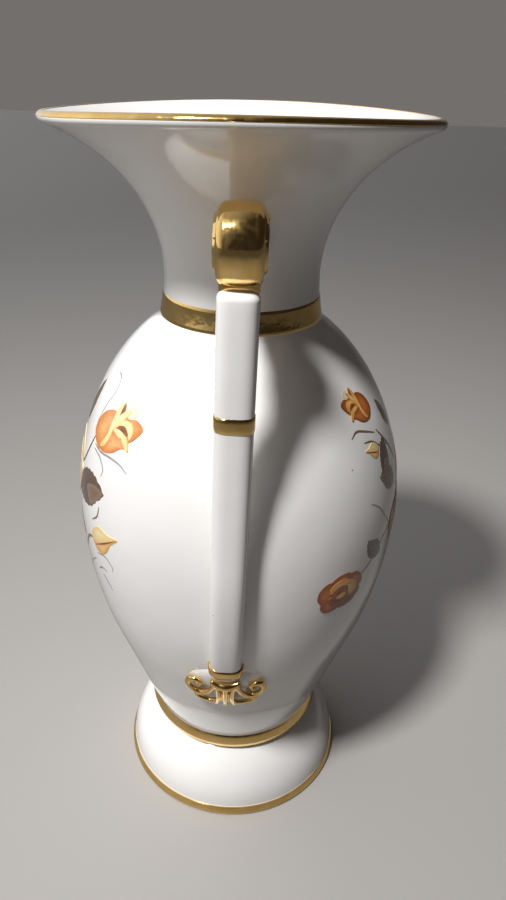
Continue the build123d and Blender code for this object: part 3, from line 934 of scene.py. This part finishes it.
FULL_ROSE = (
    ("orange", (-8.4, 1.4), [(-11.5, -0.4), (-11.2, 4.4), (-7.4, 7.2), (-3.2, 5.4), (-4.4, -0.6),
                             (-7.6, -3.2)]),
    ("orange", (-1.0, 6.6), [(-6.4, 6.4), (-2.6, 8.7), (2.6, 8.4), (4.6, 5.6), (2.0, 2.6), (-4.2, 3.4)]),
    ("orange", (7.0, 3.4), [(2.8, 6.8), (7.2, 6.9), (10.6, 3.4), (11.3, -0.8), (7.2, -1.4), (3.0, 1.8)]),
    ("orange", (-5.8, -4.4), [(-9.8, -2.6), (-9.0, -6.4), (-5.0, -8.4), (-0.8, -7.2), (-1.6, -2.8),
                              (-5.6, -1.0)]),
    ("amber", (4.4, -5.0), [(-1.8, -6.8), (2.2, -8.5), (7.4, -7.6), (10.9, -3.6), (8.4, -0.2), (2.8, -1.6)]),
    ("lemon", (-1.0, 3.6), [(-6.0, 1.6), (-5.4, 5.0), (-0.8, 6.4), (3.6, 4.8), (2.4, 1.8), (-2.2, 1.2)]),
    ("lemon", (4.4, 0.4), [(1.4, 4.2), (5.4, 3.8), (8.2, 0.4), (6.6, -3.4), (3.2, -3.0), (1.6, 0.4)]),
    ("amber", (-1.0, -3.0), [(-6.4, -0.6), (-5.4, -4.4), (-1.2, -6.0), (3.4, -4.6), (3.6, -1.4),
                             (-1.4, -0.6)]),
    ("orange", (-1.2, 0.6), [(-4.8, 1.6), (-1.6, 3.6), (2.4, 2.4), (2.8, -1.2), (-0.8, -3.2), (-4.4, -1.6)]),
    ("rust", (-1.4, 0.5), [(-3.6, 0.8), (-1.2, 2.2), (1.2, 1.0), (0.4, -1.4), (-2.4, -1.6)]),
    ("lemon", (0.0, -1.2), [(-2.8, -1.4), (0.2, -0.2), (2.2, -1.0), (1.2, -2.6), (-1.2, -2.8)]),
)
BUD = (
    ("amber", (1.0, -2.6), [(-9.0, -1.0), (-6.0, -0.4), (2.0, 2.6), (10.8, 6.0), (6.5, 2.2), (3.6, -2.6),
                            (-0.6, -6.0),
                            (-5.4, -5.6)]),
    ("lemon", (-1.5, 3.4), [(-9.0, -1.2), (-6.4, 3.2), (-1.4, 6.2), (4.4, 5.6), (10.8, 6.4), (4.0, 2.2),
                            (-1.4, -1.0),
                            (-5.6, -2.6)]),
    ("rust", (1.8, 0.9), [(-6.4, -4.6), (-1.0, -1.0), (4.0, 2.0), (10.2, 6.0), (3.8, 1.2), (-1.2, -1.8)]),
)
LEAF = (
    ("umber", (1.5, 1.0), [(-13.0, -6.0), (-13.0, -1.0), (-9.0, 4.2), (-4.0, 7.4), (2.0, 8.6), (8.0, 7.8),
                           (14.6, 4.0),
                           (9.6, -1.2), (4.6, -5.6), (-2.0, -7.6), (-8.0, -7.4)]),
    ("taupe", (7.0, 1.6), [(-1.0, 1.2), (3.5, 3.8), (9.0, 4.9), (14.0, 3.9), (9.4, -0.8), (4.2, -4.8),
                           (0.6, -2.6)]),
)
SLIM_LEAF = (
    ("umber", (0.0, 0.4), [(-10.0, -1.0), (-5.5, 3.0), (1.5, 4.2), (9.5, 1.2), (2.5, -2.8), (-5.0, -3.4)]),
    ("taupe", (1.5, -0.9), [(-7.5, -1.2), (0.5, 0.6), (8.0, 0.9), (2.2, -2.1), (-4.4, -2.9)]),
)
STEMS = (
    ("umber", 1.0, [(34.0, 188.0), (31.0, 182.5), (26.5, 175.5), (20.5, 170.5)]),
    ("stem", 0.8, [(30.5, 211.0), (35.5, 210.0), (37.2, 206.0), (34.0, 199.5), (31.5, 192.5)]),
    ("stem", 0.8, [(36.0, 185.6), (42.0, 184.8), (50.0, 185.4), (57.0, 185.0), (61.5, 183.2)]),
    ("stem", 0.7, [(36.0, 184.0), (42.5, 182.8), (46.6, 179.6), (45.8, 176.4)]),
    ("taupe", 0.8, [(46.8, 164.2), (45.4, 159.6), (41.0, 156.0)]),
    ("taupe", 1.5, [(39.5, 147.0), (35.0, 144.8), (31.0, 140.0), (24.5, 133.0)]),
    ("stem", 0.7, [(43.5, 141.6), (50.0, 143.2), (54.4, 141.0), (54.6, 138.4)]),
    ("stem", 0.9, [(42.8, 133.4), (46.0, 135.6), (50.0, 136.0)]),
    ("stem", 1.0, [(46.0, 132.2), (49.0, 130.0), (51.6, 127.0)]),
    ("stem", 1.0, [(24.0, 120.0), (32.0, 130.0), (41.0, 137.4)]),
    ("taupe", 0.8, [(-51.5, 195.8), (-47.0, 197.4), (-40.0, 195.6), (-34.0, 193.6)]),
    ("taupe", 0.8, [(-44.0, 192.6), (-38.0, 191.4), (-31.0, 187.4), (-24.0, 186.4)]),
    ("umber", 1.0, [(-32.0, 194.0), (-24.0, 186.0), (-16.0, 176.0)]),
    ("taupe", 1.1, [(-52.0, 139.0), (-44.0, 143.0), (-34.0, 150.0), (-20.0, 156.0)]),
    ("stem", 0.8, [(-26.0, 150.0), (-33.0, 158.0), (-40.0, 166.0), (-46.0, 170.0)]),
    ("stem", 0.8, [(4.0, 184.0), (9.0, 198.0), (6.0, 210.0)]),
    ("stem", 0.8, [(-6.0, 136.0), (-3.0, 122.0), (-9.0, 112.0)]),
)
FIRE = {"orange": "ember", "amber": "rust", "lemon": "amber"}
HONEY = {"orange": "amber", "rust": "ember", "amber": "orange"}
PALE = {"orange": "lemon", "amber": "cream", "rust": "orange", "lemon": "cream"}


def make_spray(face):
    spray = Spray(face)
    for colour, width, path in STEMS:
        spray.stem(colour, path, width)
    for centre, turn, size, flip, petals in (
        ((35.2, 166.6), 0.0, 1.0, 1, LEAF),
        ((-30.0, 181.6), 100.0, 0.62, -1, LEAF),
        ((-29.0, 173.4), -10.0, 0.62, -1, LEAF),
        ((-42.0, 148.6), 118.0, 0.55, 1, LEAF),
        ((-17.0, 196.0), 120.0, 0.8, 1, SLIM_LEAF),
        ((16.0, 196.0), 66.0, 1.0, 1, SLIM_LEAF),
        ((16.0, 132.0), -58.0, 1.0, -1, SLIM_LEAF),
        ((-15.0, 130.0), -124.0, 0.75, 1, LEAF),
        ((22.0, 144.0), -20.0, 0.8, 1, SLIM_LEAF),
    ):
        spray.motif(petals, LEAF_LIFT, centre, turn, size, flip, teeth=0.07)
    for petals, centre, turn, size, flip, recolour in (
        (CUP_ROSE, (47.0, 193.9), 0.0, 1.0, 1, None),
        (CUP_ROSE, (-39.6, 204.0), 4.0, 0.66, -1, FIRE),
        (FULL_ROSE, (-60.2, 136.6), 0.0, 1.0, 1, FIRE),
        (BUD, (48.4, 149.4), 0.0, 1.0, 1, None),
        (BUD, (-38.8, 188.0), 14.0, 0.5, -1, None),
        (FULL_ROSE, (5.0, 166.0), 30.0, 1.75, 1, PALE),
        (FULL_ROSE, (-15.0, 151.0), 205.0, 1.15, 1, HONEY),
        (BUD, (6.0, 124.0), -96.0, 0.8, 1, None),
    ):
        spray.motif(petals, ROSE_LIFT, centre, turn, size, flip, recolour)
    spray.finish()


for face_name in FACES:
    make_spray(face_name)


# ---- stage: plain pale floor, soft light from the upper left, and a quiet room for the gold to reflect ----
# The camera sees a paler floor than the one that reflects light on to the vase
FLOOR_SHOWN, FLOOR_BOUNCE, FLOOR_REACH = (0.42, 0.405, 0.39), (0.25, 0.24, 0.23), 6.0
LIGHT_TARGET = (0, 0, 0.16)
BACKDROP = (0.17, 0.16, 0.152)
ROOM_BRIGHT_SIDE = (-0.35, -0.94, 0.15)
ROOM_TONES = (
    (0.0, (0.022, 0.018, 0.017)),
    (0.45, (0.03, 0.025, 0.024)),
    (0.72, (0.40, 0.395, 0.395)),
    (1.0, (1.05, 1.05, 1.05)),
)


def make_floor():
    side = FLOOR_REACH
    corners = [(-side, -side, 0), (side, -side, 0), (side, side, 0), (-side, side, 0)]
    mesh = bpy.data.meshes.new("floor")
    mesh.from_pydata(corners, [], [(0, 1, 2, 3)])
    n = Nodes("floor")
    seen = n.add("ShaderNodeLightPath").outputs["Is Camera Ray"]
    n.join(n.blend(seen, FLOOR_BOUNCE, FLOOR_SHOWN), n.shader.inputs["Base Color"])
    n.set(Roughness=0.55)
    mesh.materials.append(n.material)
    floor = bpy.data.objects.new("floor", mesh)
    bpy.context.collection.objects.link(floor)


def area_light(name, azimuth, elevation, distance, size, power, colour, spread):
    """A soft light aimed at the middle of the vase."""
    data = bpy.data.lights.new(name, "AREA")
    data.shape = "DISK"
    data.size = size
    data.energy = power
    data.color = colour
    data.spread = math.radians(spread)
    lamp = bpy.data.objects.new(name, data)
    target = Vector(LIGHT_TARGET)
    azimuth, elevation = math.radians(azimuth), math.radians(elevation)
    flat = math.cos(elevation)
    aim = Vector((flat * math.cos(azimuth), flat * math.sin(azimuth), math.sin(elevation)))
    lamp.location = target + aim * distance
    lamp.rotation_euler = (-aim).to_track_quat("-Z", "Y").to_euler()
    bpy.context.collection.objects.link(lamp)


def make_room():
    """A plain backdrop for the camera; the glaze and gold reflect a room that is lit on the left and dim
    elsewhere."""
    world = bpy.data.worlds.new("room")
    world.use_nodes = True
    bpy.context.scene.world = world
    tree = world.node_tree

    def add(kind, **settings):
        node = tree.nodes.new(kind)
        for key, value in settings.items():
            setattr(node, key, value)
        return node

    place = add("ShaderNodeTexCoord")
    side = add("ShaderNodeVectorMath", operation="DOT_PRODUCT")
    side.inputs[1].default_value = Vector(ROOM_BRIGHT_SIDE).normalized()
    tree.links.new(place.outputs["Generated"], side.inputs[0])
    ramp = add("ShaderNodeValToRGB")
    stops = ramp.color_ramp.elements
    while len(stops) < len(ROOM_TONES):
        stops.new(0.5)
    for stop, (position, colour) in zip(stops, ROOM_TONES):
        stop.position = position
        stop.color = (*colour, 1.0)
    half = add("ShaderNodeMapRange")
    half.inputs["From Min"].default_value = -1.0
    tree.links.new(side.outputs["Value"], half.inputs["Value"])
    tree.links.new(half.outputs["Result"], ramp.inputs["Fac"])
    seen = add("ShaderNodeLightPath")
    shown = add("ShaderNodeMix", data_type="RGBA")
    tree.links.new(seen.outputs["Is Camera Ray"], shown.inputs["Factor"])
    tree.links.new(ramp.outputs["Color"], shown.inputs[6])
    shown.inputs[7].default_value = (*BACKDROP, 1.0)
    tree.links.new(shown.outputs[2], tree.nodes["Background"].inputs["Color"])


make_floor()
make_room()
area_light(
    "key",
    azimuth=-35.0,
    elevation=57.0,
    distance=1.4,
    size=0.20,
    power=3.35,
    colour=(1.0, 0.99, 0.975),
    spread=70.0,
)
bpy.context.scene.view_settings.view_transform = "Standard"
